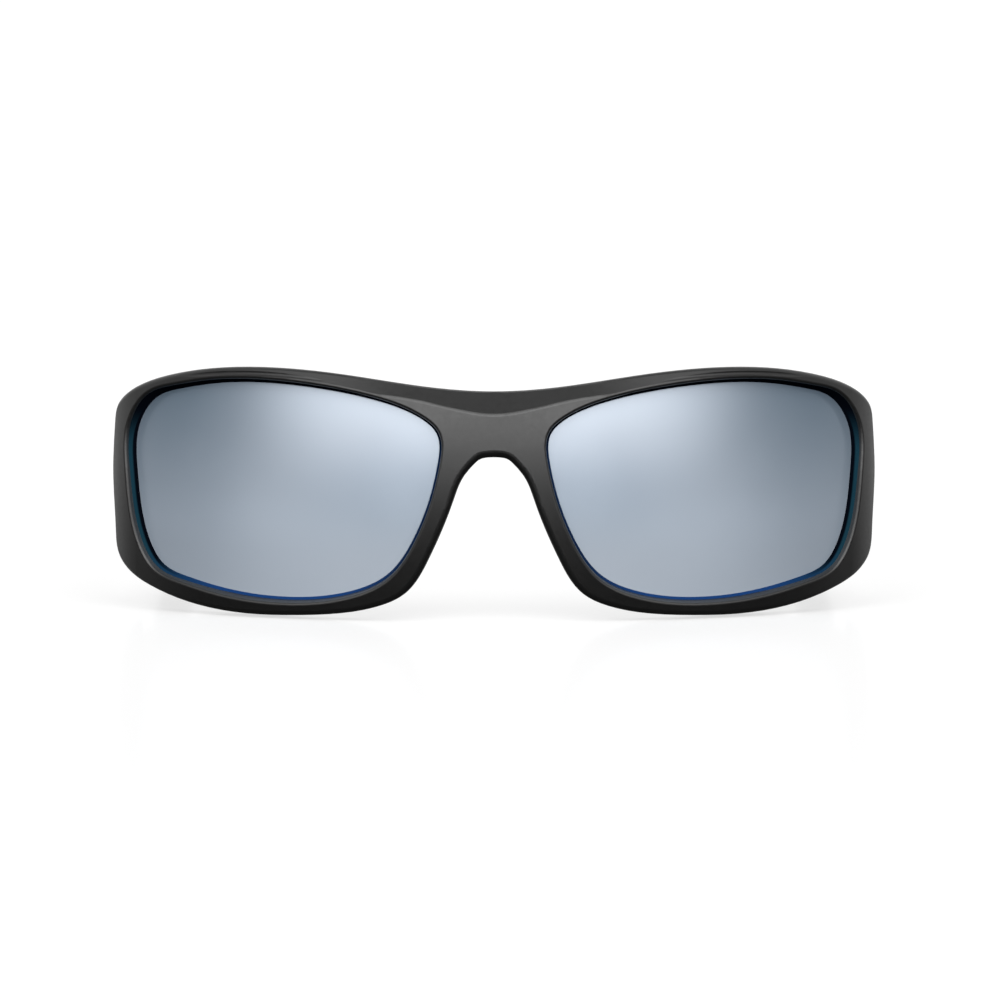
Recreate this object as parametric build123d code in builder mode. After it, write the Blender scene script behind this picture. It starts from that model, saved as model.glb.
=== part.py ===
from build123d import *
import math
import os

# Wraparound mountain sunglasses. Millimetres, +Z up, +X towards the wearer's left,
# the wearer looks along -Y. Z = 0 is the surface that the open glasses stand on.

# ---------------------------------------------------------------- driving dimensions
WIDTH = 138.0            # across the two endpieces
DEPTH = 157.0            # foremost point of the bridge to the end of the ear tips
FRONT_Y = -DEPTH / 2     # Y of the foremost point, so that the origin is mid-depth

WRAP_RADIUS = 76.0       # radius of the front's outer surface, in plan and in side view
WRAP_CENTRE_X = 9.0      # the radius starts this far from the middle, the bridge is straight
WRAP_CENTRE_Z = 21.0     # height of the centre of the wrap
SIDE_LIMIT = 69.6        # the wrap's own side, just outside the outline's bulge
CORNER_RADIUS = 18.0     # where the front turns into the endpieces, outside
INNER_CORNER_RADIUS = 8.0
SHELL = 6.0              # depth of the rims, measured through the front
SIDE_WALL = 5.0          # thickness of the endpieces
ENDPIECE_BACK = 46.0     # rear face of the endpieces, behind the foremost point

LENS_DEPTH = 2.6         # lens surface below the front's outer surface
LENS_THICKNESS = 2.0
GROOVE_DEPTH = 0.8       # lens edge held inside the rim
FIT = 0.05               # clearance round a seated lens, a core or a screw

RAKE = 5.0               # the outline runs down towards the rear by this angle
RAKE_DEPTH = 16.6        # depth at which the outline's heights hold
OUTER_EDGE = 1.2         # rounding of the front's outline
CREASE_RADIUS = 1.0      # rounding of the crease under the brow bevel
VALLEY_RADIUS = 0.6      # section of the shallow valley that follows the crease over the lenses
OPENING_EDGE = 0.45      # rounding of the lens openings

NOSE_FLARE = 16.0        # the nose wings open to the rear by this angle
NOSE_STRIP_Z = (6.0, 22.5)
PAD_INSET = 0.3          # pad face behind the edge of the nose arch
PAD_THICKNESS = 1.7
WING_THICKNESS = 1.6
WING_ROOT = 0.6          # the wings start this deep inside the rims
NOSE_CORNER = 3.0        # rounding of the rear corners of the wings and pads
PAD_BACK = 15.5

TEMPLE_FRONT = 46.3      # front end of the temples, behind the foremost point
TEMPLE_END = 112.0       # rear end of the moulded temple, where the soft ear tip starts
BAR_FRONT_X = 66.5       # middle of the temple's thickness at its front
BAR_REAR_X = 58.2        # and at the end of the ear tip
BAR_FRONT_HALF = 2.5     # half of the temple's thickness at its front
BAR_REAR_HALF = 1.8
TEMPLE_EDGE = 1.1        # rounding of the temple's long edges
SLEEVE_PROUD = 0.3       # ear tip stands this much proud of the temple
CORE_THICKNESS = 1.2
CORE_HEIGHT = 3.2
CORD_HOLE = (151.0, 6.6)  # depth and height of the hole for a retaining cord
CORD_HOLE_RADIUS = 1.25

PIVOT_X = 61.7           # hinge axis
PIVOT_BACK = 46.15
HINGE_Z = 20.6           # middle height of the hinge
BARRELS = 5
BARREL_RADIUS = 1.9
BARREL_HEIGHT = 2.0
BARREL_GAP = 0.06
PIN_RADIUS = 0.7
PIN_HEAD_RADIUS = 1.3
PIN_HEAD = 0.6
LEAF_INNER = 1.08        # leaf plate's inner face from the pivot
LEAF_THICKNESS = 1.2
LEAF_START = 2.15        # leaf plate's end from the pivot
LEAF_LENGTH = 8.0
LEAF_CORNER = 2.0
LEAF_SCREW_REACH = (4.6, 7.8)
SCREW_RADIUS = 0.6
SCREW_HEAD_RADIUS = 1.05
SCREW_HEAD = 0.45
SCREW_LENGTH = 3.4
SCREW_RECESS = 1.2

# ---------------------------------------------------------------- outlines
# The front's outline seen from the front, for the wearer's left half: X and Z.
BROW_MIDDLE_Z = 40.4
BROW = [(14.2, 41.5), (27.2, 43.5), (40.3, 44.8), (49.0, 44.8), (57.7, 43.7), (64.2, 41.6)]
SIDE = [(66.4, 40.2), (68.1, 38.1), (68.65, 35.0), (69.0, 26.0), (68.55, 16.0), (67.9, 11.0), (66.1, 8.2)]
RIM_BOTTOM = [(62.0, 5.25), (53.4, 1.85), (44.6, 0.3), (35.9, 0.0), (27.2, 0.4), (20.7, 1.65)]
NOSE_SIDE = [(16.0, 3.9), (11.65, 10.2), (7.25, 20.7), (5.3, 25.2), (3.3, 27.5)]
ARCH_TOP_Z = 28.5

# Lower edge of the brow bevel: X, Z and the bevel's slope there, from the horizontal.
BROW_CREASE = [
    (0.0, 36.1, 40.0), (13.4, 38.8, 43.0), (26.1, 41.9, 51.0), (35.2, 43.3, 53.0),
    (44.0, 44.0, 54.0), (52.0, 43.9, 55.0), (58.0, 43.3, 56.0), (63.0, 42.9, 57.0),
]
# The valley's centre line: X, Z and its distance ahead of the wrap, where it fades out at 0.6.
VALLEY = [
    (11.0, 38.2, 0.72), (17.0, 39.75, 0.38), (26.1, 41.75, 0.24), (35.2, 43.15, 0.24),
    (44.0, 43.8, 0.26), (52.0, 43.65, 0.38), (57.5, 43.0, 0.72),
]

# The visible edge of the left lens: X and Z.
LENS_EDGE = [
    (9.5, 28.4), (11.3, 20.5), (13.85, 14.1), (18.66, 7.25), (26.1, 3.9), (36.8, 2.95), (47.4, 4.3),
    (55.6, 6.8), (60.6, 9.9), (63.4, 16.5), (64.75, 26.5), (64.65, 33.6), (62.5, 38.2), (56.4, 41.2),
    (50.0, 42.1), (42.0, 42.2), (32.0, 41.15), (20.5, 38.7), (12.7, 35.4), (9.9, 32.7),
]

# Side view of a temple and its ear tip, and of the core inside: depth and Z.
TEMPLE_TOP = [(46.3, 39.6), (54.0, 37.0), (66.0, 33.7), (87.0, 29.8), (112.0, 26.6), (130.0, 22.8),
              (145.0, 15.2), (156.8, 5.6)]
TEMPLE_BOTTOM = [(46.3, 2.0), (55.0, 7.2), (70.0, 12.8), (91.0, 16.6), (112.0, 16.6), (128.0, 13.0),
                 (140.0, 7.6), (149.05, 1.35)]
TIP_END = (155.55, 1.35)
CORE_LINE = [(92.0, 23.2), (112.0, 21.6), (129.0, 17.9), (143.0, 11.2)]


RAKE_SLOPE = math.tan(math.radians(RAKE))


def back(depth):
    """Y of a point that lies depth behind the foremost point of the bridge."""
    return FRONT_Y + depth


def front_plane(depth):
    """A sketch plane seen from the front: local X is X, local Y is Z."""
    return Plane.XZ.offset(-back(depth))


def seen_on_wrap(x, z, radius=WRAP_RADIUS):
    """Depth and height of the point of the wrap of a radius that an outline's X and Z stand for."""
    out = max(abs(x) - WRAP_CENTRE_X, 0.0)
    depth = 0.0
    for _ in range(6):
        height = z - (depth - RAKE_DEPTH) * RAKE_SLOPE
        depth = WRAP_RADIUS - math.sqrt(radius**2 - out**2 - (height - WRAP_CENTRE_Z) ** 2)
    return depth, height


# ---------------------------------------------------------------- front
def wrap_plan(radius, side, corner, length):
    """Half of the front's plan, filled back to length: straight bridge, wrap, side."""
    turn = math.asin((side - WRAP_CENTRE_X) / radius)
    middle = turn / 2
    start = WRAP_RADIUS - radius
    end_depth = WRAP_RADIUS - radius * math.cos(turn)
    with BuildSketch(Plane.XY.offset(WRAP_CENTRE_Z)) as plan:
        with BuildLine():
            Line((0, back(start)), (WRAP_CENTRE_X, back(start)))
            ThreePointArc(
                (WRAP_CENTRE_X, back(start)),
                (
                    WRAP_CENTRE_X + radius * math.sin(middle),
                    back(WRAP_RADIUS - radius * math.cos(middle)),
                ),
                (side, back(end_depth)),
            )
            Line((side, back(end_depth)), (side, back(length)))
            Line((side, back(length)), (0, back(length)))
            Line((0, back(length)), (0, back(start)))
        make_face()
        turned = plan.vertices().filter_by(
            lambda v: abs(v.X - side) < 0.01 and abs(v.Y - back(end_depth)) < 0.01
        )
        fillet(turned, corner)
        mirror(about=Plane.YZ)
    return plan.sketch


def front_outline():
    """The front's outline, seen from the front."""
    with BuildSketch(mode=Mode.PRIVATE) as outline:
        with BuildLine():
            Spline(
                (0, BROW_MIDDLE_Z), *BROW, *SIDE, *RIM_BOTTOM, *NOSE_SIDE, (0, ARCH_TOP_Z),
                tangents=[(1, 0), (-1, 0)],
            )
            Line((0, ARCH_TOP_Z), (0, BROW_MIDDLE_Z))
        make_face()
        mirror(about=Plane.YZ)
    return outline.sketch


def lens_outline(grow, plane_depth):
    """The lens edge of the wearer's left lens, grown by a margin and thrown from the
    centre of the wrap onto a plane, so that a loft between two planes is square to the lens."""
    count = len(LENS_EDGE)
    reach = WRAP_RADIUS - plane_depth
    thrown = []
    for i in range(count):
        x, z = LENS_EDGE[i]
        before = LENS_EDGE[i - 1]
        after = LENS_EDGE[(i + 1) % count]
        run = math.hypot(after[0] - before[0], after[1] - before[1])
        x += grow * (after[1] - before[1]) / run
        z -= grow * (after[0] - before[0]) / run
        depth, height = seen_on_wrap(x, z, WRAP_RADIUS - LENS_DEPTH)
        scale = reach / (WRAP_RADIUS - depth)
        thrown_x = WRAP_CENTRE_X + (x - WRAP_CENTRE_X) * scale
        thrown.append((thrown_x, WRAP_CENTRE_Z + (height - WRAP_CENTRE_Z) * scale))
    with BuildSketch(front_plane(plane_depth)) as outline:
        with BuildLine():
            Spline(*thrown, periodic=True)
        make_face()
    return outline.sketch


def lens_cone(grow, near=-4.0, far=60.0):
    """A cone from the centre of the wrap through the lens edge."""
    with BuildPart() as cone:
        add(lens_outline(grow, near))
        add(lens_outline(grow, far))
        loft(ruled=True)
    return cone.part


def lens_layer(grow, outer, inner):
    """What lies inside the cone between two radii of the wrap."""
    with BuildPart() as layer:
        add(lens_cone(grow))
        with Locations((WRAP_CENTRE_X, back(WRAP_RADIUS), WRAP_CENTRE_Z)):
            Sphere(outer, mode=Mode.INTERSECT)
            Sphere(inner, mode=Mode.SUBTRACT)
    return layer.part


def wrap_ring(radius, side, corner, length):
    """A plan of the wrap turned about the wrap's axis."""
    with BuildPart() as ring:
        add(wrap_plan(radius, side, corner, length))
        revolve(axis=Axis((0, back(WRAP_RADIUS), WRAP_CENTRE_Z), (1, 0, 0)))
    return ring.part


def brow_line(plane_depth):
    """Where the bevel, drawn on in both directions from the crease, meets a plane seen from the
    front: the slope changes from the bridge outwards."""
    line = []
    for x, z, slope in BROW_CREASE:
        depth, height = seen_on_wrap(x, z)
        rise = math.tan(math.radians(slope))
        line.append((x, height + (plane_depth - depth) * rise))
    return [(-x, z) for x, z in line[:0:-1]] + line


def brow_cutter():
    """What the brow bevel takes off: everything above a slope that leans back from the crease."""
    above = 90.0
    with BuildPart() as cutter:
        for plane_depth in (-6.0, 40.0):
            line = brow_line(plane_depth)
            with BuildSketch(front_plane(plane_depth)):
                with BuildLine():
                    Spline(*line)
                    Polyline(line[-1], (line[-1][0], above), (line[0][0], above), line[0])
                make_face()
        loft(ruled=True)
    return cutter.part


def brow_valley():
    """The shallow valley that follows the crease over the left lens."""
    course = []
    for x, z, ahead in VALLEY:
        depth, height = seen_on_wrap(x, z)
        centre = Vector(WRAP_CENTRE_X, back(WRAP_RADIUS), WRAP_CENTRE_Z)
        outwards = (Vector(x, back(depth), height) - centre).normalized()
        course.append(centre + outwards * (WRAP_RADIUS + ahead))
    with BuildPart() as valley:
        with BuildLine() as path:
            Spline(*course)
        with BuildSketch(Plane(origin=path.line @ 0, z_dir=path.line % 0)):
            Circle(VALLEY_RADIUS)
        sweep()
    return valley.part


def outline_prism(depth):
    """The front's outline, drawn back along the rake from just ahead of the bridge."""
    ahead = 2.0
    length = (depth + ahead) / math.cos(math.radians(RAKE))
    with BuildPart() as prism:
        with BuildSketch(front_plane(-ahead)):
            with Locations((0, (RAKE_DEPTH + ahead) * RAKE_SLOPE)):
                add(front_outline())
        extrude(amount=length, dir=(0, 1, -RAKE_SLOPE))
    return prism.part


def on_outline(edge, outline):
    """Whether an edge runs along the front's outline, ahead of the endpieces' rear face."""
    if max(edge.position_at(0).Y, edge.position_at(1).Y) > back(ENDPIECE_BACK) - 0.01:
        return False
    middle = edge.position_at(0.5)
    lifted = middle.Z + (middle.Y - back(RAKE_DEPTH)) * RAKE_SLOPE
    return outline.distance_to(Vector(middle.X, back(0), lifted)) < 0.02


def wrap_distance(point):
    """Distance of a point from the centre line of the wrap."""
    out = max(abs(point.X) - WRAP_CENTRE_X, 0.0)
    return math.hypot(out, point.Y - back(WRAP_RADIUS), point.Z - WRAP_CENTRE_Z)


def on_crease(edge):
    """Whether an edge is the lower edge of the brow bevel, on the outer surface of the wrap."""
    points = [edge.position_at(u) for u in (0.1, 0.5, 0.9)]
    on_surface = all(abs(wrap_distance(p) - WRAP_RADIUS) < 0.02 for p in points)
    return on_surface and points[1].Z > 34 and edge.geom_type != GeomType.CIRCLE and edge.length > 10


def wrapped_shell():
    """The front before its openings: the wrapped shell, cut to the outline and the brow bevel."""
    wire = (front_plane(0) * front_outline()).wire()
    with BuildPart() as shell:
        add(outline_prism(ENDPIECE_BACK))
        add(wrap_ring(WRAP_RADIUS, SIDE_LIMIT, CORNER_RADIUS, ENDPIECE_BACK + 12), mode=Mode.INTERSECT)
        fillet(shell.edges().filter_by(lambda e: on_outline(e, wire)), OUTER_EDGE)
        add(brow_cutter(), mode=Mode.SUBTRACT)
        fillet(shell.edges(Select.LAST).filter_by(on_crease), CREASE_RADIUS)
        add(both(brow_valley()), mode=Mode.SUBTRACT)
        add(
            wrap_ring(
                WRAP_RADIUS - SHELL, WIDTH / 2 - SIDE_WALL, INNER_CORNER_RADIUS, ENDPIECE_BACK + 14,
            ),
            mode=Mode.SUBTRACT,
        )
    return shell.part


def nose_strip(inner, outer, end, reach):
    """A strip along the nose side of the left rim, drawn back and outwards behind the rim."""
    flare = math.tan(math.radians(NOSE_FLARE))
    low, high = NOSE_STRIP_Z
    lift = RAKE_DEPTH * RAKE_SLOPE
    course = [(16.3, 4.0), (12.0, 10.3), (9.8, 15.3), (7.6, 20.8), (6.0, 24.2)]
    with BuildPart() as strip:
        with BuildSketch(front_plane(0)):
            with BuildLine():
                near = Spline(*[(x + inner, z + lift) for x, z in course])
                away = Spline(*[(x + outer, z + lift) for x, z in course])
                Line(near @ 0, away @ 0)
                Line(near @ 1, away @ 1)
            make_face()
        extrude(amount=end, dir=(flare, 1, -RAKE_SLOPE))
        with BuildSketch(Plane.YZ):
            with Locations((back(0), (low + high) / 2)):
                RectangleRounded(2 * end, high - low, NOSE_CORNER)
        extrude(amount=WIDTH / 2, mode=Mode.INTERSECT)
        with Locations((WRAP_CENTRE_X, back(WRAP_RADIUS), WRAP_CENTRE_Z)):
            Sphere(reach, mode=Mode.INTERSECT)
    return strip.part


def both(piece):
    """A piece for the wearer's left, and its mirror image for the right."""
    return [piece, mirror(piece, about=Plane.YZ, mode=Mode.PRIVATE)]


def leaf_screw_places(sign):
    """Middles of the two screw heads of a leaf; sign is -1 on the endpiece, 1 on the temple."""
    return [(back(PIVOT_BACK + sign * reach), HINGE_Z) for reach in LEAF_SCREW_REACH]


def screw_space(sign, clearance):
    """The space of one leaf's two screws: countersunk heads flush with the leaf, going outwards."""
    seat = PIVOT_X + LEAF_INNER
    with BuildPart() as space:
        with BuildSketch(Plane.YZ.offset(seat)):
            with Locations(*leaf_screw_places(sign)):
                Circle(SCREW_HEAD_RADIUS + clearance)
        extrude(amount=SCREW_HEAD + clearance)
        with BuildSketch(Plane.YZ.offset(seat)):
            with Locations(*leaf_screw_places(sign)):
                Circle(SCREW_RADIUS + clearance)
        extrude(amount=SCREW_LENGTH + clearance)
    return space.part


def leaf_screws(sign):
    """Two countersunk screws with a cross recess, as separate solids."""
    seat = PIVOT_X + LEAF_INNER
    with BuildPart() as screws:
        add(screw_space(sign, 0.0))
        with BuildSketch(Plane.YZ.offset(seat)):
            with Locations(*leaf_screw_places(sign)):
                Rectangle(SCREW_RECESS, 0.28)
                Rectangle(0.28, SCREW_RECESS)
        extrude(amount=0.25, mode=Mode.SUBTRACT)
    return screws.part


def frame_front():
    """The moulded front: rims, bridge, endpieces and nose wings, with the lens grooves."""
    groove_outer = WRAP_RADIUS - LENS_DEPTH + FIT
    groove_inner = WRAP_RADIUS - LENS_DEPTH - LENS_THICKNESS - FIT
    wing_inner = PAD_INSET + PAD_THICKNESS + FIT
    wing_reach = WRAP_RADIUS - SHELL + WING_ROOT
    with BuildPart() as front:
        add(wrapped_shell())
        add(both(lens_cone(0.0)), mode=Mode.SUBTRACT)
        rims = front.edges(Select.LAST).filter_by(
            lambda e: wrap_distance(e.position_at(0.5)) > WRAP_RADIUS - LENS_DEPTH / 2
        )
        fillet(rims, OPENING_EDGE)
        add(both(lens_layer(GROOVE_DEPTH + FIT, groove_outer, groove_inner)), mode=Mode.SUBTRACT)
        add(both(nose_strip(wing_inner, wing_inner + WING_THICKNESS, PAD_BACK, wing_reach)))
        add(both(screw_space(-1, FIT)), mode=Mode.SUBTRACT)
    return front.part


def lens():
    """A toric mirror lens, held in the groove all round."""
    outer = WRAP_RADIUS - LENS_DEPTH
    return lens_layer(GROOVE_DEPTH, outer, outer - LENS_THICKNESS)


def nose_pad():
    """Soft pad on the nose side of a wing."""
    with BuildPart() as pad:
        add(nose_strip(PAD_INSET, PAD_INSET + PAD_THICKNESS, PAD_BACK, WRAP_RADIUS - SHELL - FIT))
    return pad.part


# ---------------------------------------------------------------- temples
def bar_plan(half_front, half_rear, start, end):
    """Plan of a bar along the left temple between two depths, curving in towards the ear tip."""
    outer = []
    inner = []
    for i in range(3):
        depth = start + (end - start) * i / 2
        share = (depth - TEMPLE_FRONT) / (DEPTH - TEMPLE_FRONT)
        middle = BAR_FRONT_X + (BAR_REAR_X - BAR_FRONT_X) * share**2
        half = half_front + (half_rear - half_front) * share
        outer.append((middle + half, back(depth)))
        inner.append((middle - half, back(depth)))
    with BuildSketch() as plan:
        with BuildLine():
            ThreePointArc(*outer)
            Line(outer[-1], inner[-1])
            ThreePointArc(*inner)
            Line(inner[0], outer[0])
        make_face()
    return plan.sketch


def bar(half_front, half_rear, start, end):
    """A curved bar of the temple's full height, before its side view is cut."""
    with BuildPart() as blank:
        add(bar_plan(half_front, half_rear, start, end))
        extrude(amount=60, both=True)
    return blank.part


def temple_profile():
    """Side view of a temple with its ear tip: as tall as the endpiece, hooked over the ear."""
    with BuildPart() as profile:
        with BuildSketch(Plane.YZ.offset(BAR_REAR_X - 10)):
            with BuildLine():
                top = [(back(depth), z) for depth, z in TEMPLE_TOP]
                bottom = [(back(depth), z) for depth, z in TEMPLE_BOTTOM]
                end = (back(TIP_END[0]), TIP_END[1])
                Spline(*top, tangents=[(1, -0.25), (0.3, -1)])
                ThreePointArc(top[-1], end, bottom[-1])
                Spline(*bottom, tangents=[(1, 0.5), (0.72, -0.7)])
                Line(top[0], bottom[0])
            make_face()
        extrude(amount=30)
    return profile.part


def core_solid(clearance):
    """The flat steel core that joins a temple to its ear tip, grown by a clearance."""
    half = CORE_HEIGHT / 2 + clearance
    thick = CORE_THICKNESS / 2 + clearance
    start = (CORE_LINE[0][0] - clearance, CORE_LINE[0][1])
    end = (CORE_LINE[-1][0] + clearance, CORE_LINE[-1][1])
    course = [start, *CORE_LINE[1:-1], end]
    upper = []
    lower = []
    for i in range(len(course)):
        before = course[max(i - 1, 0)]
        after = course[min(i + 1, len(course) - 1)]
        run = math.hypot(after[0] - before[0], after[1] - before[1])
        rise = half * run / (after[0] - before[0])
        upper.append((back(course[i][0]), course[i][1] + rise))
        lower.append((back(course[i][0]), course[i][1] - rise))
    with BuildPart() as core:
        with BuildSketch(Plane.YZ.offset(BAR_REAR_X - 10)):
            with BuildLine():
                Spline(*upper)
                Line(upper[-1], lower[-1])
                Spline(*lower)
                Line(lower[0], upper[0])
            make_face()
        extrude(amount=30)
        add(bar(thick, thick, start[0], end[0]), mode=Mode.INTERSECT)
    return core.part


def temple():
    """The moulded temple, from the endpiece to the front of the ear tip."""
    with BuildPart() as arm:
        add(bar(BAR_FRONT_HALF, BAR_REAR_HALF, TEMPLE_FRONT, TEMPLE_END))
        add(temple_profile(), mode=Mode.INTERSECT)
        long_edges = arm.edges().filter_by(lambda e: e.length > 40)
        fillet(long_edges, TEMPLE_EDGE)
        add(outline_prism(DEPTH), mode=Mode.INTERSECT)
        add(core_solid(FIT), mode=Mode.SUBTRACT)
        add(screw_space(1, FIT), mode=Mode.SUBTRACT)
    return arm.part


def ear_tip():
    """Soft ear tip: slightly thicker than the temple, with a hole for a retaining cord."""
    with BuildPart() as tip:
        add(bar(BAR_FRONT_HALF + SLEEVE_PROUD, BAR_REAR_HALF + SLEEVE_PROUD, TEMPLE_END, DEPTH + 1))
        add(temple_profile(), mode=Mode.INTERSECT)
        long_edges = tip.edges().filter_by(lambda e: e.length > 15)
        fillet(long_edges, TEMPLE_EDGE)
        add(core_solid(FIT), mode=Mode.SUBTRACT)
        with Locations(Plane.YZ):
            with Locations((back(CORD_HOLE[0]), CORD_HOLE[1])):
                Hole(CORD_HOLE_RADIUS, depth=WIDTH / 2 + 1)
    return tip.part


# ---------------------------------------------------------------- hinge
def barrel_levels(numbers):
    """Heights of the undersides of some of the hinge's barrels, counted from below."""
    bottom = HINGE_Z - BARRELS * BARREL_HEIGHT / 2
    return [bottom + n * BARREL_HEIGHT + BARREL_GAP / 2 for n in numbers]


def hinge_leaf(sign, numbers):
    """A metal leaf with its knuckles; sign is -1 for the endpiece's leaf, 1 for the temple's."""
    pivot_y = back(PIVOT_BACK)
    inner = PIVOT_X + LEAF_INNER
    outer = inner + LEAF_THICKNESS
    knuckle_end = LEAF_START + 0.5
    bottom = HINGE_Z - BARRELS * BARREL_HEIGHT / 2
    with BuildPart() as leaf:
        with BuildSketch(Plane.XY.offset(bottom)):
            with Locations(((inner + outer) / 2, pivot_y + sign * (LEAF_START + LEAF_LENGTH / 2))):
                Rectangle(LEAF_THICKNESS, LEAF_LENGTH)
        extrude(amount=BARRELS * BARREL_HEIGHT)
        plate_corners = leaf.edges().filter_by(Axis.X).group_by(Axis.Y)[0 if sign < 0 else -1]
        fillet(plate_corners, LEAF_CORNER)
        for level in barrel_levels(numbers):
            with BuildSketch(Plane.XY.offset(level)):
                with BuildLine():
                    Polyline(
                        (PIVOT_X, pivot_y), (PIVOT_X + BARREL_RADIUS, pivot_y),
                        (outer, pivot_y + sign * LEAF_START), (outer, pivot_y + sign * knuckle_end),
                        (inner, pivot_y + sign * knuckle_end), (inner, pivot_y + sign * LEAF_START),
                        (PIVOT_X, pivot_y + sign * BARREL_RADIUS), (PIVOT_X, pivot_y),
                    )
                make_face()
                with Locations((PIVOT_X, pivot_y)):
                    Circle(BARREL_RADIUS)
            extrude(amount=BARREL_HEIGHT - BARREL_GAP)
        with BuildSketch(Plane.XY.offset(bottom)):
            with Locations((PIVOT_X, pivot_y)):
                Circle(PIN_RADIUS + FIT)
        extrude(amount=BARRELS * BARREL_HEIGHT, mode=Mode.SUBTRACT)
        add(screw_space(sign, FIT), mode=Mode.SUBTRACT)
    return leaf.part


def hinge_screw():
    """The hinge's pin: a slotted screw down through the barrels."""
    bottom = HINGE_Z - BARRELS * BARREL_HEIGHT / 2
    top = HINGE_Z + BARRELS * BARREL_HEIGHT / 2
    with BuildPart() as screw:
        with BuildSketch(Plane.XY.offset(bottom)):
            with Locations((PIVOT_X, back(PIVOT_BACK))):
                Circle(PIN_RADIUS)
        extrude(amount=top - bottom)
        with BuildSketch(Plane.XY.offset(top)):
            with Locations((PIVOT_X, back(PIVOT_BACK))):
                Circle(PIN_HEAD_RADIUS)
        extrude(amount=PIN_HEAD)
        fillet(screw.edges().sort_by(Axis.Z)[-1], 0.2)
        with BuildSketch(Plane.XY.offset(top + PIN_HEAD / 2)):
            with Locations((PIVOT_X, back(PIVOT_BACK))):
                Rectangle(2 * PIN_HEAD_RADIUS + 1, 0.35)
        extrude(amount=PIN_HEAD, mode=Mode.SUBTRACT)
    return screw.part


# ---------------------------------------------------------------- assembly
def save(piece, name):
    """Write one piece to its own file."""
    piece.label = name
    export_step(piece, "parts/" + name + ".step")


os.makedirs("parts", exist_ok=True)
save(frame_front(), "frame_front")

# One side is modelled, the wearer's left, and the right is its mirror image.
LEFT_PIECES = {
    "lens": lens(),
    "nose_pad": nose_pad(),
    "temple": temple(),
    "ear_tip": ear_tip(),
    "tip_core": core_solid(0.0),
    "endpiece_hinge_leaf": hinge_leaf(-1, (0, 2, 4)),
    "temple_hinge_leaf": hinge_leaf(1, (1, 3)),
    "hinge_screw": hinge_screw(),
    "endpiece_leaf_screws": leaf_screws(-1),
    "temple_leaf_screws": leaf_screws(1),
}
for name, piece in LEFT_PIECES.items():
    save(piece, "left_" + name)
    save(mirror(piece, about=Plane.YZ), "right_" + name)
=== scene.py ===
"""Wraparound mountain sunglasses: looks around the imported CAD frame."""
import math

import bmesh
import bpy
import numpy as np
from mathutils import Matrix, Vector


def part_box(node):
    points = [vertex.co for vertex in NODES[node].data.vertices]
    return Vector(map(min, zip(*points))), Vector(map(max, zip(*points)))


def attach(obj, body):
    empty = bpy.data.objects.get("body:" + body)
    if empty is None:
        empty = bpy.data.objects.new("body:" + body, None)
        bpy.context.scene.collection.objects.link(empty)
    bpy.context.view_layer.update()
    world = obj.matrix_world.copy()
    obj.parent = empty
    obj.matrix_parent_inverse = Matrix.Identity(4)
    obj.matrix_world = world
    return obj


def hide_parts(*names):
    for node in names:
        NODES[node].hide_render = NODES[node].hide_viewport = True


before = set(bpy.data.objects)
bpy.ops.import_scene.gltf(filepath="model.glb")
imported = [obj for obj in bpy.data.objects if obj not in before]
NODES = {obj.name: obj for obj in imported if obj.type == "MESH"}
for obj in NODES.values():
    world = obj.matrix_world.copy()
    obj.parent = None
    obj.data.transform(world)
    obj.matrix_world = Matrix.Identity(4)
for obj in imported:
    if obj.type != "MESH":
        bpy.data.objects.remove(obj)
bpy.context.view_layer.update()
FRONT_LOW, FRONT_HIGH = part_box("frame_front")

# Either half of the front wraps about its own centre. This is the left one, and the right one is
# its mirror image. Each lens is part of a sphere about that centre.
WRAP_RADIUS = 0.076           # outer face of the front
WRAP_CENTRE = Vector((0.009, FRONT_LOW.y + WRAP_RADIUS, 0.021))
LENS_RADIUS = 0.0734          # outer face of the lenses
LENS_INNER_RADIUS = 0.0714


def new_object(name, data):
    """An object in the scene."""
    made = bpy.data.objects.new(name, data)
    bpy.context.scene.collection.objects.link(made)
    return made


# ---------------------------------------------------------------- camera
VIEW_ELEVATION = math.radians(5.0)
CAMERA_DISTANCE = 3.0
SENSOR = 36.0
WIDTH_SHARE = 0.7655          # of the picture's width that the glasses fill
AIM_DEPTH = 0.0166            # depth behind the bridge at which the aim point lies
AIM = Vector((0.0011, FRONT_LOW.y + AIM_DEPTH, 0.0208))
CLIP_START = 0.05
CLIP_END = 20.0


def add_camera():
    """A long lens, straight ahead of the front and a little above it."""
    data = bpy.data.cameras.new("camera")
    data.sensor_width = SENSOR
    width = FRONT_HIGH.x - FRONT_LOW.x
    data.lens = SENSOR * CAMERA_DISTANCE * WIDTH_SHARE / width
    data.clip_start = CLIP_START
    data.clip_end = CLIP_END
    camera = new_object("camera", data)
    back = Vector((0.0, -math.cos(VIEW_ELEVATION), math.sin(VIEW_ELEVATION)))
    camera.location = AIM + back * CAMERA_DISTANCE
    camera.rotation_euler = (math.pi / 2 - VIEW_ELEVATION, 0.0, 0.0)
    bpy.context.scene.camera = camera


# ---------------------------------------------------------------- node helpers
def new_tree(owner, output):
    """An empty node tree of a material or world, and its output node."""
    owner.use_nodes = True
    tree = owner.node_tree
    tree.nodes.clear()
    return tree, tree.nodes.new(output)


def new_material(name):
    """A node material with a Principled shader: the material, its tree and the shader."""
    material = bpy.data.materials.new(name)
    tree, output = new_tree(material, "ShaderNodeOutputMaterial")
    shader = tree.nodes.new("ShaderNodeBsdfPrincipled")
    tree.links.new(shader.outputs["BSDF"], output.inputs["Surface"])
    return material, tree, shader


def place(tree):
    """Positions on the object, in metres."""
    return tree.nodes.new("ShaderNodeTexCoord").outputs["Object"]


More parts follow.
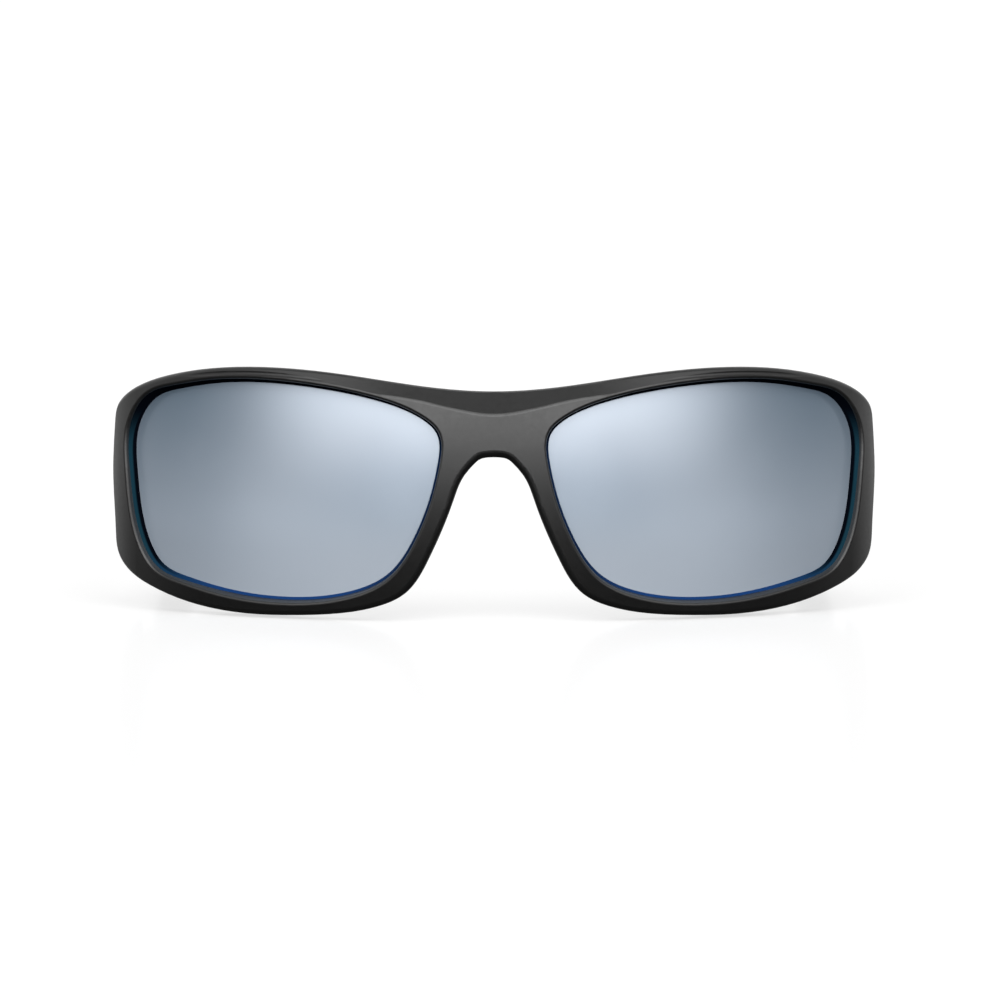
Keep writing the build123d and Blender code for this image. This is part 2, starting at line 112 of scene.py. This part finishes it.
def noise(tree, vector, scale, detail=3.0):
    """A noise value, about 0.3 to 0.7 for the most part."""
    node = tree.nodes.new("ShaderNodeTexNoise")
    node.inputs["Scale"].default_value = scale
    node.inputs["Detail"].default_value = detail
    node.inputs["Roughness"].default_value = 0.5
    tree.links.new(vector, node.inputs["Vector"])
    return node.outputs["Fac"]


def ramp(tree, value, stops, interpolation="LINEAR"):
    """A colour ramp from (position, colour) pairs."""
    node = tree.nodes.new("ShaderNodeValToRGB")
    node.color_ramp.interpolation = interpolation
    while len(node.color_ramp.elements) < len(stops):
        node.color_ramp.elements.new(0.5)
    for element, (position, colour) in zip(node.color_ramp.elements, stops):
        element.position = position
        element.color = (*colour, 1.0)
    tree.links.new(value, node.inputs["Fac"])
    return node.outputs["Color"]


def grey(level):
    """An even RGB triple."""
    return (level, level, level)


def speckle(tree, value, one, two):
    """A colour that wanders between two RGB triples with a noise value."""
    return ramp(tree, value, [(0.3, one), (0.7, two)])


def bump(tree, height, distance, strength):
    """A normal raised by a height value."""
    node = tree.nodes.new("ShaderNodeBump")
    node.inputs["Strength"].default_value = strength
    node.inputs["Distance"].default_value = distance
    tree.links.new(height, node.inputs["Height"])
    return node.outputs["Normal"]


def maths(tree, operation, first, second=None):
    """A math node's result from one or two values, each a socket or a number."""
    node = tree.nodes.new("ShaderNodeMath")
    node.operation = operation
    for socket, value in zip(node.inputs, (first, second)):
        if isinstance(value, (int, float)):
            socket.default_value = value
        elif value is not None:
            tree.links.new(value, socket)
    return node.outputs[0]


def mix(tree, factor, first, second, blend="MIX"):
    """A mix of two colours, each a socket or an RGB triple."""
    node = tree.nodes.new("ShaderNodeMix")
    node.data_type = "RGBA"
    node.blend_type = blend
    if isinstance(factor, float):
        node.inputs["Factor"].default_value = factor
    else:
        tree.links.new(factor, node.inputs["Factor"])
    colours = [socket for socket in node.inputs if socket.type == "RGBA"]
    for socket, value in zip(colours, (first, second)):
        if isinstance(value, tuple):
            socket.default_value = (*value, 1.0)
        else:
            tree.links.new(value, socket)
    return next(socket for socket in node.outputs if socket.type == "RGBA")


def fade(tree, value, start, end, smooth=False):
    """0 where a value is start, 1 where it is end."""
    node = tree.nodes.new("ShaderNodeMapRange")
    node.interpolation_type = "SMOOTHSTEP" if smooth else "LINEAR"
    node.inputs["From Min"].default_value = start
    node.inputs["From Max"].default_value = end
    tree.links.new(value, node.inputs["Value"])
    return node.outputs[0]


def side_and_height(tree, where):
    """Distance to either side of the middle of the glasses, and height, in metres."""
    parts = tree.nodes.new("ShaderNodeSeparateXYZ")
    tree.links.new(where, parts.inputs[0])
    return maths(tree, "ABSOLUTE", parts.outputs["X"]), parts.outputs["Z"]


def above_lens(tree, where):
    """Height over the outer face of either lens, in metres."""
    parts = tree.nodes.new("ShaderNodeSeparateXYZ")
    tree.links.new(where, parts.inputs[0])
    folded = tree.nodes.new("ShaderNodeCombineXYZ")
    tree.links.new(maths(tree, "ABSOLUTE", parts.outputs["X"]), folded.inputs["X"])
    tree.links.new(parts.outputs["Y"], folded.inputs["Y"])
    tree.links.new(parts.outputs["Z"], folded.inputs["Z"])
    reach = tree.nodes.new("ShaderNodeVectorMath")
    reach.operation = "DISTANCE"
    reach.inputs[1].default_value = WRAP_CENTRE
    tree.links.new(folded.outputs[0], reach.inputs[0])
    return maths(tree, "SUBTRACT", reach.outputs["Value"], LENS_RADIUS)


# ---------------------------------------------------------------- frame, rubber and steel
RUBBER_ROUGHNESS = 0.62
BRUSHED = (1.0, 0.06, 1.0)    # steel's grain is drawn out along its length


def matte_black():
    """Satin black nylon with a fine spark-eroded grain."""
    material, tree, shader = new_material("frame")
    where = place(tree)
    tint = speckle(tree, noise(tree, where, scale=90.0), grey(0.0035), grey(0.0055))
    tree.links.new(tint, shader.inputs["Base Color"])
    shader.inputs["Specular IOR Level"].default_value = 1.0
    rough = speckle(tree, noise(tree, where, scale=1400.0, detail=2.0), grey(0.36), grey(0.42))
    tree.links.new(rough, shader.inputs["Roughness"])
    grain = bump(tree, noise(tree, where, scale=5200.0, detail=2.0), distance=0.00002, strength=0.15)
    tree.links.new(grain, shader.inputs["Normal"])
    return material


def soft_rubber():
    """Dull black rubber of the ear tips and nose pads."""
    material, tree, shader = new_material("soft_rubber")
    where = place(tree)
    tint = speckle(tree, noise(tree, where, scale=200.0), grey(0.010), grey(0.016))
    tree.links.new(tint, shader.inputs["Base Color"])
    shader.inputs["Roughness"].default_value = RUBBER_ROUGHNESS
    grain = bump(tree, noise(tree, where, scale=4000.0), distance=0.00003, strength=0.4)
    tree.links.new(grain, shader.inputs["Normal"])
    return material


def steel(name, level, roughness):
    """Brushed steel of a given brightness."""
    material, tree, shader = new_material(name)
    stretch = tree.nodes.new("ShaderNodeMapping")
    stretch.inputs["Scale"].default_value = BRUSHED
    tree.links.new(place(tree), stretch.inputs["Vector"])
    lines = noise(tree, stretch.outputs["Vector"], scale=6000.0)
    tint = speckle(tree, lines, grey(level * 0.85), grey(level))
    tree.links.new(tint, shader.inputs["Base Color"])
    shader.inputs["Metallic"].default_value = 1.0
    shader.inputs["Roughness"].default_value = roughness
    scratches = bump(tree, lines, distance=0.00001, strength=0.3)
    tree.links.new(scratches, shader.inputs["Normal"])
    return material


# ---------------------------------------------------------------- lens materials
# Painted reflection: the mirror's colour dims from the nose towards the upper outer corner.
NOSE_TINT = (0.410, 0.459, 0.524)
OUTER_PAINTED_DIM = (0.096, 0.135, 0.178)
MIRROR_METALLIC = 0.30
REFLECTION_DIMS_OUTWARDS = (0.022, 0.060)     # painted reflection dims the mirror over this distance from the middle
REFLECTION_DIMS_UPWARDS = (-0.006, 0.043)     # and over this height
MOTTLE = 0.08                       # unevenness of the coating
# Painted reflection: lighter and darker bands from the bottom to the top of the lens, by the nose and
# outwards.
PAINTED_BANDS_HEIGHT = (0.0, 0.043)
NOSE_PAINTED_BANDS = [
    (0.10, grey(0.86)), (0.27, grey(0.80)), (0.42, (0.73, 0.76, 0.78)),
    (0.60, (0.585, 0.615, 0.645)), (0.78, grey(0.76)), (0.92, grey(0.90)),
]
OUTER_PAINTED_BANDS = [
    (0.0, grey(0.88)), (0.29, grey(0.94)), (0.41, grey(1.0)), (0.54, grey(0.94)), (0.79, grey(0.87)),
]
NOSE_TO_OUTER = (0.020, 0.046)

EDGE_NAVY = (0.005, 0.014, 0.040)
EDGE_BLUE = (0.006, 0.026, 0.092)
EDGE_TEAL = (0.005, 0.021, 0.032)
# Painted shade: the near-black the edge takes along the brow and, at the sides, next to the lens.
EDGE_SHADED = (0.001, 0.0015, 0.003)
EDGE_TONES = [(0.0, EDGE_NAVY), (0.26, EDGE_BLUE), (0.72, EDGE_BLUE), (1.0, EDGE_TEAL)]
EDGE_TONES_RUN = (0.016, 0.063)     # distances from the middle where these tones start and end
EDGE_SHADE_HEIGHT = (0.028, 0.037)  # painted shade turns the edge near black towards the brow
EDGE_FOOT_SHADE_RISE = (0.0009, 0.0006)   # and painted shade near the lens, at the sides
EDGE_FOOT_SHADE_RUN = (0.056, 0.061)

SMOKE_DARK = (0.022, 0.024, 0.027)
SMOKE_LIGHT = (0.028, 0.031, 0.035)
SMOKE_ROUGHNESS = 0.08


def mirror_coating():
    """Silver-blue flash mirror with painted reflection: it darkens towards the upper outer corner and
    is banded by height.
    """
    material, tree, shader = new_material("mirror_lens")
    where = place(tree)
    side, height = side_and_height(tree, where)
    # painted reflection: the mirror dims outwards and upwards, plus a random mottle
    outward = fade(tree, side, *REFLECTION_DIMS_OUTWARDS, smooth=True)
    upward = fade(tree, height, *REFLECTION_DIMS_UPWARDS)
    uneven = maths(tree, "SUBTRACT", noise(tree, where, scale=70.0), 0.5)
    mottle = maths(tree, "MULTIPLY", uneven, MOTTLE)
    painted_dimming = maths(tree, "ADD", maths(tree, "MULTIPLY", outward, upward), mottle)
    tint = ramp(tree, painted_dimming, [(0.0, NOSE_TINT), (1.0, OUTER_PAINTED_DIM)])
    # painted reflection: bands of lighter and darker mirror by height
    level = fade(tree, height, *PAINTED_BANDS_HEIGHT)
    by_nose = ramp(tree, level, NOSE_PAINTED_BANDS, "B_SPLINE")
    outer = ramp(tree, level, OUTER_PAINTED_BANDS, "B_SPLINE")
    painted_bands = mix(tree, fade(tree, side, *NOSE_TO_OUTER, smooth=True), by_nose, outer)
    tree.links.new(mix(tree, 1.0, tint, painted_bands, "MULTIPLY"), shader.inputs["Base Color"])
    shader.inputs["Metallic"].default_value = MIRROR_METALLIC
    rough = speckle(tree, noise(tree, where, scale=900.0, detail=2.0), grey(0.17), grey(0.21))
    tree.links.new(rough, shader.inputs["Roughness"])
    return material


def lens_edge_blue():
    """Polished edge of the lens: navy by the nose, then deep blue, and teal towards the sides.
    Painted shade turns it near black along the brow and, at the sides, at its base next to the lens."""
    material, tree, shader = new_material("lens_edge")
    where = place(tree)
    side, height = side_and_height(tree, where)
    tint = ramp(tree, fade(tree, side, *EDGE_TONES_RUN), EDGE_TONES)
    # painted shade along the brow and, at the sides, next to the lens
    along_brow = fade(tree, height, *EDGE_SHADE_HEIGHT, smooth=True)
    low_down = fade(tree, above_lens(tree, where), *EDGE_FOOT_SHADE_RISE)
    foot_painted_shade = maths(tree, "MULTIPLY", low_down, fade(tree, side, *EDGE_FOOT_SHADE_RUN))
    shaded = mix(tree, maths(tree, "MAXIMUM", along_brow, foot_painted_shade), tint, EDGE_SHADED)
    tree.links.new(shaded, shader.inputs["Base Color"])
    shader.inputs["Specular IOR Level"].default_value = 0.0
    rough = speckle(tree, noise(tree, where, scale=800.0), grey(0.40), grey(0.50))
    tree.links.new(rough, shader.inputs["Roughness"])
    return material


def lens_smoke():
    """Dark smoke inner face of the lens."""
    material, tree, shader = new_material("lens_smoke")
    tint = speckle(tree, noise(tree, place(tree), scale=50.0), SMOKE_DARK, SMOKE_LIGHT)
    tree.links.new(tint, shader.inputs["Base Color"])
    shader.inputs["Roughness"].default_value = SMOKE_ROUGHNESS
    return material


# ---------------------------------------------------------------- stage
FLOOR_SIZE = 60.0
FLOOR_GLOW = 0.73             # the floor is lit evenly from below, as on a light table
FLOOR_TINT = 0.38
FLOOR_POLISH = 0.10           # share of the floor that mirrors what stands on it
FLOOR_ROUGHNESS = 0.12        # and how soft that mirror image is

# Azimuth (0 is the camera's side), elevation, spread and strength of each soft light.
SOFTBOXES = [
    (22.0, 37.5, 45.0, 2.25),
    (-22.0, 37.5, 45.0, 2.25),
    (135.0, 25.0, 70.0, 0.66),
    (-135.0, 25.0, 70.0, 0.66),
    (180.0, 20.0, 54.0, 0.60),
]
AMBIENT = 0.055

FILL_POWER = 26.0
FILL_SIZE = (0.9, 0.5)
FILL_PLACE = (0.0, -1.3, 0.12)
FILL_AIM = Vector((0.0, 0.0, 0.02))


def floor_white():
    """Glowing white floor with a faint polish."""
    material = bpy.data.materials.new("floor_white")
    tree, output = new_tree(material, "ShaderNodeOutputMaterial")
    matte = tree.nodes.new("ShaderNodeBsdfDiffuse")
    matte.inputs["Color"].default_value = (*grey(FLOOR_TINT), 1.0)
    glow = tree.nodes.new("ShaderNodeEmission")
    glow.inputs["Strength"].default_value = FLOOR_GLOW
    lit = tree.nodes.new("ShaderNodeAddShader")
    tree.links.new(matte.outputs[0], lit.inputs[0])
    tree.links.new(glow.outputs[0], lit.inputs[1])
    polish = tree.nodes.new("ShaderNodeBsdfGlossy")
    polish.inputs["Roughness"].default_value = FLOOR_ROUGHNESS
    surface = tree.nodes.new("ShaderNodeMixShader")
    surface.inputs["Fac"].default_value = FLOOR_POLISH
    tree.links.new(lit.outputs[0], surface.inputs[1])
    tree.links.new(polish.outputs[0], surface.inputs[2])
    tree.links.new(surface.outputs[0], output.inputs["Surface"])
    return material


def add_floor():
    """The floor, which throws no light and no reflection onto the glasses."""
    bm = bmesh.new()
    bmesh.ops.create_grid(bm, x_segments=1, y_segments=1, size=FLOOR_SIZE)
    mesh = bpy.data.meshes.new("floor")
    bm.to_mesh(mesh)
    bm.free()
    mesh.materials.append(floor_white())
    floor = new_object("floor", mesh)
    floor.visible_glossy = False
    floor.visible_diffuse = False


def softbox(tree, direction, azimuth, elevation, spread, strength):
    """Brightness of a round soft light seen in a direction; it fades out at spread degrees."""
    az, el = math.radians(azimuth), math.radians(elevation)
    towards = (math.sin(az) * math.cos(el), -math.cos(az) * math.cos(el), math.sin(el))
    dot = tree.nodes.new("ShaderNodeVectorMath")
    dot.operation = "DOT_PRODUCT"
    dot.inputs[1].default_value = towards
    tree.links.new(direction, dot.inputs[0])
    inside = fade(tree, dot.outputs["Value"], math.cos(math.radians(spread)), 1.0, smooth=True)
    return maths(tree, "MULTIPLY", inside, strength)


def add_world():
    """The studio: soft lights in an even, dim room."""
    scene = bpy.context.scene
    scene.world = bpy.data.worlds.new("studio")
    tree, output = new_tree(scene.world, "ShaderNodeOutputWorld")
    shade = tree.nodes.new("ShaderNodeBackground")
    tree.links.new(shade.outputs[0], output.inputs["Surface"])
    direction = tree.nodes.new("ShaderNodeTexCoord").outputs["Generated"]
    total = AMBIENT
    for light in SOFTBOXES:
        total = maths(tree, "ADD", softbox(tree, direction, *light), total)
    tree.links.new(total, shade.inputs["Strength"])
    scene.view_settings.view_transform = "Standard"
    scene.view_settings.look = "None"


def add_lens_fill(lenses):
    """A frontal panel that lights the lenses alone, and shows in no reflection."""
    data = bpy.data.lights.new("lens_fill", "AREA")
    data.shape = "RECTANGLE"
    data.size, data.size_y = FILL_SIZE
    data.energy = FILL_POWER
    fill = new_object("lens_fill", data)
    fill.location = FILL_PLACE
    fill.rotation_euler = (FILL_AIM - fill.location).to_track_quat("-Z", "Y").to_euler()
    fill.visible_glossy = False
    group = bpy.data.collections.new("lit_by_lens_fill")
    for lens in lenses:
        group.objects.link(lens)
    fill.light_linking.receiver_collection = group


# ---------------------------------------------------------------- pieces
def climb(value, start, run):
    """0 up to a start, then up to 1 over a run."""
    return np.clip((value - start) / run, 0.0, 1.0)


def between(value, low, high, soft):
    """1 between two limits, fading to 0 over a soft margin inside them."""
    return climb(value, low, soft) * climb(-value, -high, soft)


def add_piece(name, mesh, materials, body, replaced):
    """A visible piece that rides a body and stands in for a CAD node."""
    mesh.name = name
    for material in materials:
        mesh.materials.append(material)
    piece = new_object(name, mesh)
    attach(piece, body)
    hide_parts(replaced)
    return piece


def dress(node, material):
    """A CAD node's own mesh in a material."""
    NODES[node].data.materials.clear()
    NODES[node].data.materials.append(material)


# ---------------------------------------------------------------- lenses
GROOVE = 0.0008               # lens edge held in the rim
EDGE_WIDTH = 0.0004           # visible polished edge,
EDGE_WIDTH_SIDE = 0.0003      # at the sides
EDGE_WIDTH_BROW = 0.00012     # and along the brow
EDGE_RISE = 0.00045           # how far it climbs the rim,
EDGE_RISE_SIDE = 0.0015       # at the sides
EDGE_RISE_BROW = 0.0020       # and along the brow
EDGE_HOLD = 0.0001            # how deep it goes into the rim
BROW_HEIGHT = (0.031, 0.006)  # where the edge turns into the brow's: from, and over what run
SIDE_REACH = (0.047, 0.010)   # and into the sides', measured from the middle
ON_FACE = 2e-5                # how near a vertex of the outer face is to its sphere
AROUND = 180
FRONT_RINGS = 22
BACK_RINGS = 14
LENS_SHARP = math.radians(25.0)
MIRROR, EDGE, SMOKE = 0, 1, 2         # the lens's material slots


def unit(vectors):
    """Vectors, one a row, brought to length 1."""
    return vectors / np.linalg.norm(vectors, axis=-1, keepdims=True)


def face_rim(node, centre):
    """Vertices round the outer face of a lens, from the centre of the wrap, in no order."""
    mesh = NODES[node].data
    points = np.array([v.co[:] for v in mesh.vertices]) - np.array(centre)
    on_face = np.abs(np.linalg.norm(points, axis=1) - LENS_RADIUS) < ON_FACE
    keys = [tuple(np.round(p, 7)) for p in points]
    uses = {}
    for face in mesh.polygons:
        corners = list(face.vertices)
        if not on_face[corners].all():
            continue
        for one, two in zip(corners, corners[1:] + corners[:1]):
            edge = frozenset((keys[one], keys[two]))
            uses[edge] = uses.get(edge, 0) + 1
    rim = {key for edge, count in uses.items() if count == 1 for key in edge}
    return np.array(sorted(rim))


def lens_boundary(node, centre):
    """Evenly spaced directions, from the centre of the wrap, of the edge of a lens's outer face,
    and the direction of its middle."""
    rim = face_rim(node, centre)
    axis = unit(rim.mean(axis=0))
    right = unit(np.cross(axis, (0.0, 0.0, 1.0)))
    up = np.cross(right, axis)
    rim = rim[np.argsort(np.arctan2(rim @ up, rim @ right))]
    steps = np.linalg.norm(np.roll(rim, -1, axis=0) - rim, axis=1)
    run = np.concatenate(([0.0], np.cumsum(steps)))
    closed = np.vstack((rim, rim[:1]))
    even = np.linspace(0.0, run[-1], AROUND, endpoint=False)
    loop = np.stack([np.interp(even, run, closed[:, k]) for k in range(3)], axis=1)
    loop = (np.roll(loop, 1, axis=0) + 2.0 * loop + np.roll(loop, -1, axis=0)) / 4.0
    return unit(loop), axis


def inset(loop, distance):
    """A loop of directions moved inwards by a distance as seen from the front, the same all round
    or one for each direction."""
    seen = loop[:, [0, 2]]
    tangent = np.roll(seen, -1, axis=0) - np.roll(seen, 1, axis=0)
    inward = unit(np.stack((-tangent[:, 1], tangent[:, 0]), axis=1))
    if np.sum(inward * (seen.mean(axis=0) - seen)) < 0.0:
        inward = -inward
    share = np.broadcast_to(distance, len(loop)) / LENS_RADIUS
    seen = seen + inward * share[:, None]
    depth = np.sqrt(1.0 - np.sum(seen**2, axis=1))
    return np.stack((seen[:, 0], -depth, seen[:, 1]), axis=1)


def by_place(base, at_side, at_brow, sideways, along_brow):
    """A size of the polished edge all round: it differs at the sides and along the brow."""
    size = base + (at_side - base) * sideways
    return size + (at_brow - size) * along_brow


def new_face(bm, corners, kind):
    """A smooth face in one of the lens's material slots."""
    face = bm.faces.new(corners)
    face.material_index = kind
    face.smooth = True


def skin(bm, loops, kinds):
    """Quads between loops of vertices; kinds gives each band's material slot."""
    for outer, inner, kind in zip(loops, loops[1:], kinds):
        for i in range(len(outer)):
            j = (i + 1) % len(outer)
            new_face(bm, (outer[i], outer[j], inner[j], inner[i]), kind)


def add_lens(side, materials):
    """A mirror lens: outer face, blue edge that climbs the rim, groove tongue, inner face."""
    centre = WRAP_CENTRE.copy()
    if side == "right":
        centre.x = -centre.x
    boundary, axis = lens_boundary(side + "_lens", centre)
    visible = inset(boundary, GROOVE)
    height = centre.z + visible[:, 2] * LENS_RADIUS
    out = np.abs(centre.x + visible[:, 0] * LENS_RADIUS)
    sideways = climb(out, *SIDE_REACH)
    along_brow = climb(height, *BROW_HEIGHT)
    width = by_place(EDGE_WIDTH, EDGE_WIDTH_SIDE, EDGE_WIDTH_BROW, sideways, along_brow)
    rise = by_place(EDGE_RISE, EDGE_RISE_SIDE, EDGE_RISE_BROW, sideways, along_brow)
    edge = inset(boundary, GROOVE + width)
    hold = inset(boundary, GROOVE - EDGE_HOLD)
    bm = bmesh.new()

    def ring(directions, radius):
        radii = np.broadcast_to(radius, len(directions))
        return [bm.verts.new(np.array(centre) + d * r) for d, r in zip(directions, radii)]

    def face_rings(shares, radius):
        return [ring(unit(edge * share + axis * (1.0 - share)), radius) for share in shares]

    face = face_rings(np.linspace(0.0, 1.0, FRONT_RINGS + 1)[1:], LENS_RADIUS)
    cove = [ring(visible, LENS_RADIUS + rise), ring(hold, LENS_RADIUS + rise)]
    tongue = [ring(hold, LENS_RADIUS), ring(boundary, LENS_RADIUS), ring(boundary, LENS_INNER_RADIUS)]
    back = face_rings(np.linspace(1.0, 0.0, BACK_RINGS + 1)[:-1], LENS_INNER_RADIUS)
    edge_bands = len(cove) + len(tongue)
    kinds = [MIRROR] * (len(face) - 1) + [EDGE] * edge_bands + [SMOKE] * len(back)
    skin(bm, face + cove + tongue + back, kinds)
    for last, radius, kind in ((face[0], LENS_RADIUS, MIRROR), (back[-1], LENS_INNER_RADIUS, SMOKE)):
        tip = bm.verts.new(np.array(centre) + axis * radius)
        for i in range(AROUND):
            new_face(bm, (last[i], last[(i + 1) % AROUND], tip), kind)
    bmesh.ops.recalc_face_normals(bm, faces=bm.faces)
    mesh = bpy.data.meshes.new("lens")
    bm.to_mesh(mesh)
    bm.free()
    mesh.set_sharp_from_angle(angle=LENS_SHARP)
    name = side + "_mirror_lens"
    return add_piece(name, mesh, materials, "front", side + "_lens")


# ---------------------------------------------------------------- moulded parts
SMOOTHING = 3                 # rounds that soften a moulded part's corners
WELD = 1e-6                   # CAD vertices this near are the same corner


def moulded_copy(node, voxel):
    """An even, soft-edged mesh of a CAD solid, as loose mesh data."""
    mesh = NODES[node].data.copy()
    bm = bmesh.new()
    bm.from_mesh(mesh)
    bmesh.ops.remove_doubles(bm, verts=bm.verts, dist=WELD)
    bm.to_mesh(mesh)
    bm.free()
    blank = new_object("blank", mesh)
    remesh = blank.modifiers.new("remesh", "REMESH")
    remesh.mode = "VOXEL"
    remesh.voxel_size = voxel
    smooth = blank.modifiers.new("smooth", "SMOOTH")
    smooth.factor = 0.5
    smooth.iterations = SMOOTHING
    evaluated = blank.evaluated_get(bpy.context.evaluated_depsgraph_get())
    result = bpy.data.meshes.new_from_object(evaluated)
    bpy.data.objects.remove(blank)
    bpy.data.meshes.remove(mesh)
    return result


def vertex_arrays(mesh):
    """Places and normals of a mesh's vertices, one a row."""
    places = np.empty(len(mesh.vertices) * 3)
    normals = np.empty(len(mesh.vertices) * 3)
    mesh.vertices.foreach_get("co", places)
    mesh.vertex_normals.foreach_get("vector", normals)
    return places.reshape(-1, 3), normals.reshape(-1, 3)


def move_vertices(mesh, places):
    """Puts a mesh's vertices in new places."""
    mesh.vertices.foreach_set("co", places.ravel())
    mesh.update()


def add_moulded_piece(name, mesh, material, body, replaced):
    """A visible piece from a moulded copy's mesh, in one material."""
    mesh.shade_smooth()
    mesh.materials.clear()
    add_piece(name, mesh, [material], body, replaced)


# ---------------------------------------------------------------- soft parts
TIP_VOXEL = 0.00028
PAD_VOXEL = 0.00020
# The ear tips bend about a point under their front end: ribs fan out from it.
TIP_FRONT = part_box("left_ear_tip")[0]
BEND_CENTRE = (TIP_FRONT.y, -0.026)
BEND_RADIUS = 0.048
RIB_FIRST, RIB_LAST, RIB_STEP = 10.0, 41.0, 2.5
RIB_FADE = 1.0                # degrees over which the first and last ribs fade
RIB_BELOW, RIB_ABOVE = 0.0036, 0.0030
RIB_DEPTH = 0.00032
RIB_END = 0.0012              # ribs run out over this length
GROOVE_GAIN, GROOVE_LAND = 1.6, 0.4   # how steep a groove's walls are, and how wide the land
TIP_FACE = (0.7, 0.2)         # how squarely a surface faces sideways to take ribs: from, and run
PAD_RIB_STEP = 0.0022
PAD_RIB_DEPTH = 0.00022
PAD_MARGIN_Z = 0.0018
PAD_MARGIN_FRONT, PAD_MARGIN_BACK = 0.0016, 0.0014
PAD_FACE = (0.6, 0.2)


def groove(phase):
    """1 at the middle of each groove, 0 on the land between: phase counts the grooves."""
    return np.clip(np.cos(2.0 * np.pi * phase) * GROOVE_GAIN - GROOVE_LAND, 0.0, 1.0)


def tip_ribs(places, normals):
    """Depth of the grooves across both faces of an ear tip."""
    along = places[:, 1] - BEND_CENTRE[0]
    above = places[:, 2] - BEND_CENTRE[1]
    angle = np.degrees(np.arctan2(along, above))
    radius = np.hypot(along, above)
    on_ribs = between(angle, RIB_FIRST, RIB_LAST, RIB_FADE)
    on_face = climb(np.abs(normals[:, 0]), *TIP_FACE)
    height = between(radius, BEND_RADIUS - RIB_BELOW, BEND_RADIUS + RIB_ABOVE, RIB_END)
    return RIB_DEPTH * groove(angle / RIB_STEP) * on_ribs * on_face * height


def pad_ribs(places, normals):
    """Depth of the grooves across the face of a nose pad that rests on the nose."""
    low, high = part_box("left_nose_pad")
    to_nose = climb(-normals[:, 0] * np.sign(places[:, 0]), *PAD_FACE)
    height = between(places[:, 2], low.z + PAD_MARGIN_Z, high.z - PAD_MARGIN_Z, RIB_END)
    depth = between(places[:, 1], low.y + PAD_MARGIN_FRONT, high.y - PAD_MARGIN_BACK, RIB_END)
    return PAD_RIB_DEPTH * groove(places[:, 2] / PAD_RIB_STEP) * to_nose * height * depth


def add_soft_piece(name, node, voxel, ribs, body, material):
    """A soft copy of a CAD solid with ribs pressed into it."""
    mesh = moulded_copy(node, voxel)
    places, normals = vertex_arrays(mesh)
    places -= normals * ribs(places, normals)[:, None]
    move_vertices(mesh, places)
    add_moulded_piece(name, mesh, material, body, node)


# ---------------------------------------------------------------- temples
TEMPLE_VOXEL = 0.00028
TEMPLE_ROUNDS = 180
TEMPLE_PULL = 0.9             # share of the way to its neighbours' mean that a vertex moves
TEMPLE_FLANK = (0.90, 0.08)   # how squarely a surface faces sideways to be evened: from, and run
TEMPLE_HELD = 0.0008          # the flanks keep their place this near to either end
TEMPLE_HELD_FADE = 0.0020
TEMPLE_STOP = 0.00027         # the stop face comes this much nearer to the endpiece
TEMPLE_STOP_FADE = 0.0004


def blend_flanks(mesh):
    """Evens out the temple's two flanks, so that the endpiece's curved side runs softly into them,
    and closes its front end against the endpiece."""
    places, normals = vertex_arrays(mesh)
    count = len(places)
    ends = np.empty(len(mesh.edges) * 2, dtype=np.int64)
    mesh.edges.foreach_get("vertices", ends)
    one, two = ends.reshape(-1, 2).T
    start, end = places[:, 1].min(), places[:, 1].max()
    free = climb(np.abs(normals[:, 0]), *TEMPLE_FLANK)
    free *= between(places[:, 1], start + TEMPLE_HELD, end - TEMPLE_HELD, TEMPLE_HELD_FADE)
    neighbours = np.bincount(one, minlength=count) + np.bincount(two, minlength=count)
    out = places[:, 0].copy()
    for _ in range(TEMPLE_ROUNDS):
        total = np.bincount(one, out[two], count) + np.bincount(two, out[one], count)
        out += TEMPLE_PULL * free * (total / neighbours - out)
    places[:, 0] = out
    at_stop = climb(-places[:, 1], -(start + TEMPLE_HELD), TEMPLE_STOP_FADE)
    places[:, 1] -= TEMPLE_STOP * at_stop
    move_vertices(mesh, places)


def add_temple(side, material):
    """A temple in the frame's material, in place of the CAD one."""
    mesh = moulded_copy(side + "_temple", TEMPLE_VOXEL)
    blend_flanks(mesh)
    name = side + "_satin_temple"
    add_moulded_piece(name, mesh, material, side + "_temple_arm", side + "_temple")


# ---------------------------------------------------------------- scene
add_camera()
add_world()
add_floor()
FRAME_MATERIAL = matte_black()
LENS_MATERIALS = [mirror_coating(), lens_edge_blue(), lens_smoke()]
RUBBER = soft_rubber()
HINGE_STEEL = steel("hinge_steel", 0.42, 0.32)
SCREW_STEEL = steel("screw_steel", 0.55, 0.25)
SPRING_STEEL = steel("spring_steel", 0.5, 0.3)
STEEL_PARTS = [
    ("_tip_core", SPRING_STEEL),
    ("_endpiece_hinge_leaf", HINGE_STEEL),
    ("_temple_hinge_leaf", HINGE_STEEL),
    ("_hinge_screw", SCREW_STEEL),
    ("_endpiece_leaf_screws", SCREW_STEEL),
    ("_temple_leaf_screws", SCREW_STEEL),
]
dress("frame_front", FRAME_MATERIAL)
add_lens_fill([add_lens(side, LENS_MATERIALS) for side in ("left", "right")])
for side in ("left", "right"):
    arm = side + "_temple_arm"
    tip = side + "_ear_tip"
    pad = side + "_nose_pad"
    add_temple(side, FRAME_MATERIAL)
    add_soft_piece(side + "_ribbed_ear_tip", tip, TIP_VOXEL, tip_ribs, arm, RUBBER)
    add_soft_piece(side + "_ribbed_nose_pad", pad, PAD_VOXEL, pad_ribs, "front", RUBBER)
    for part, material in STEEL_PARTS:
        dress(side + part, material)
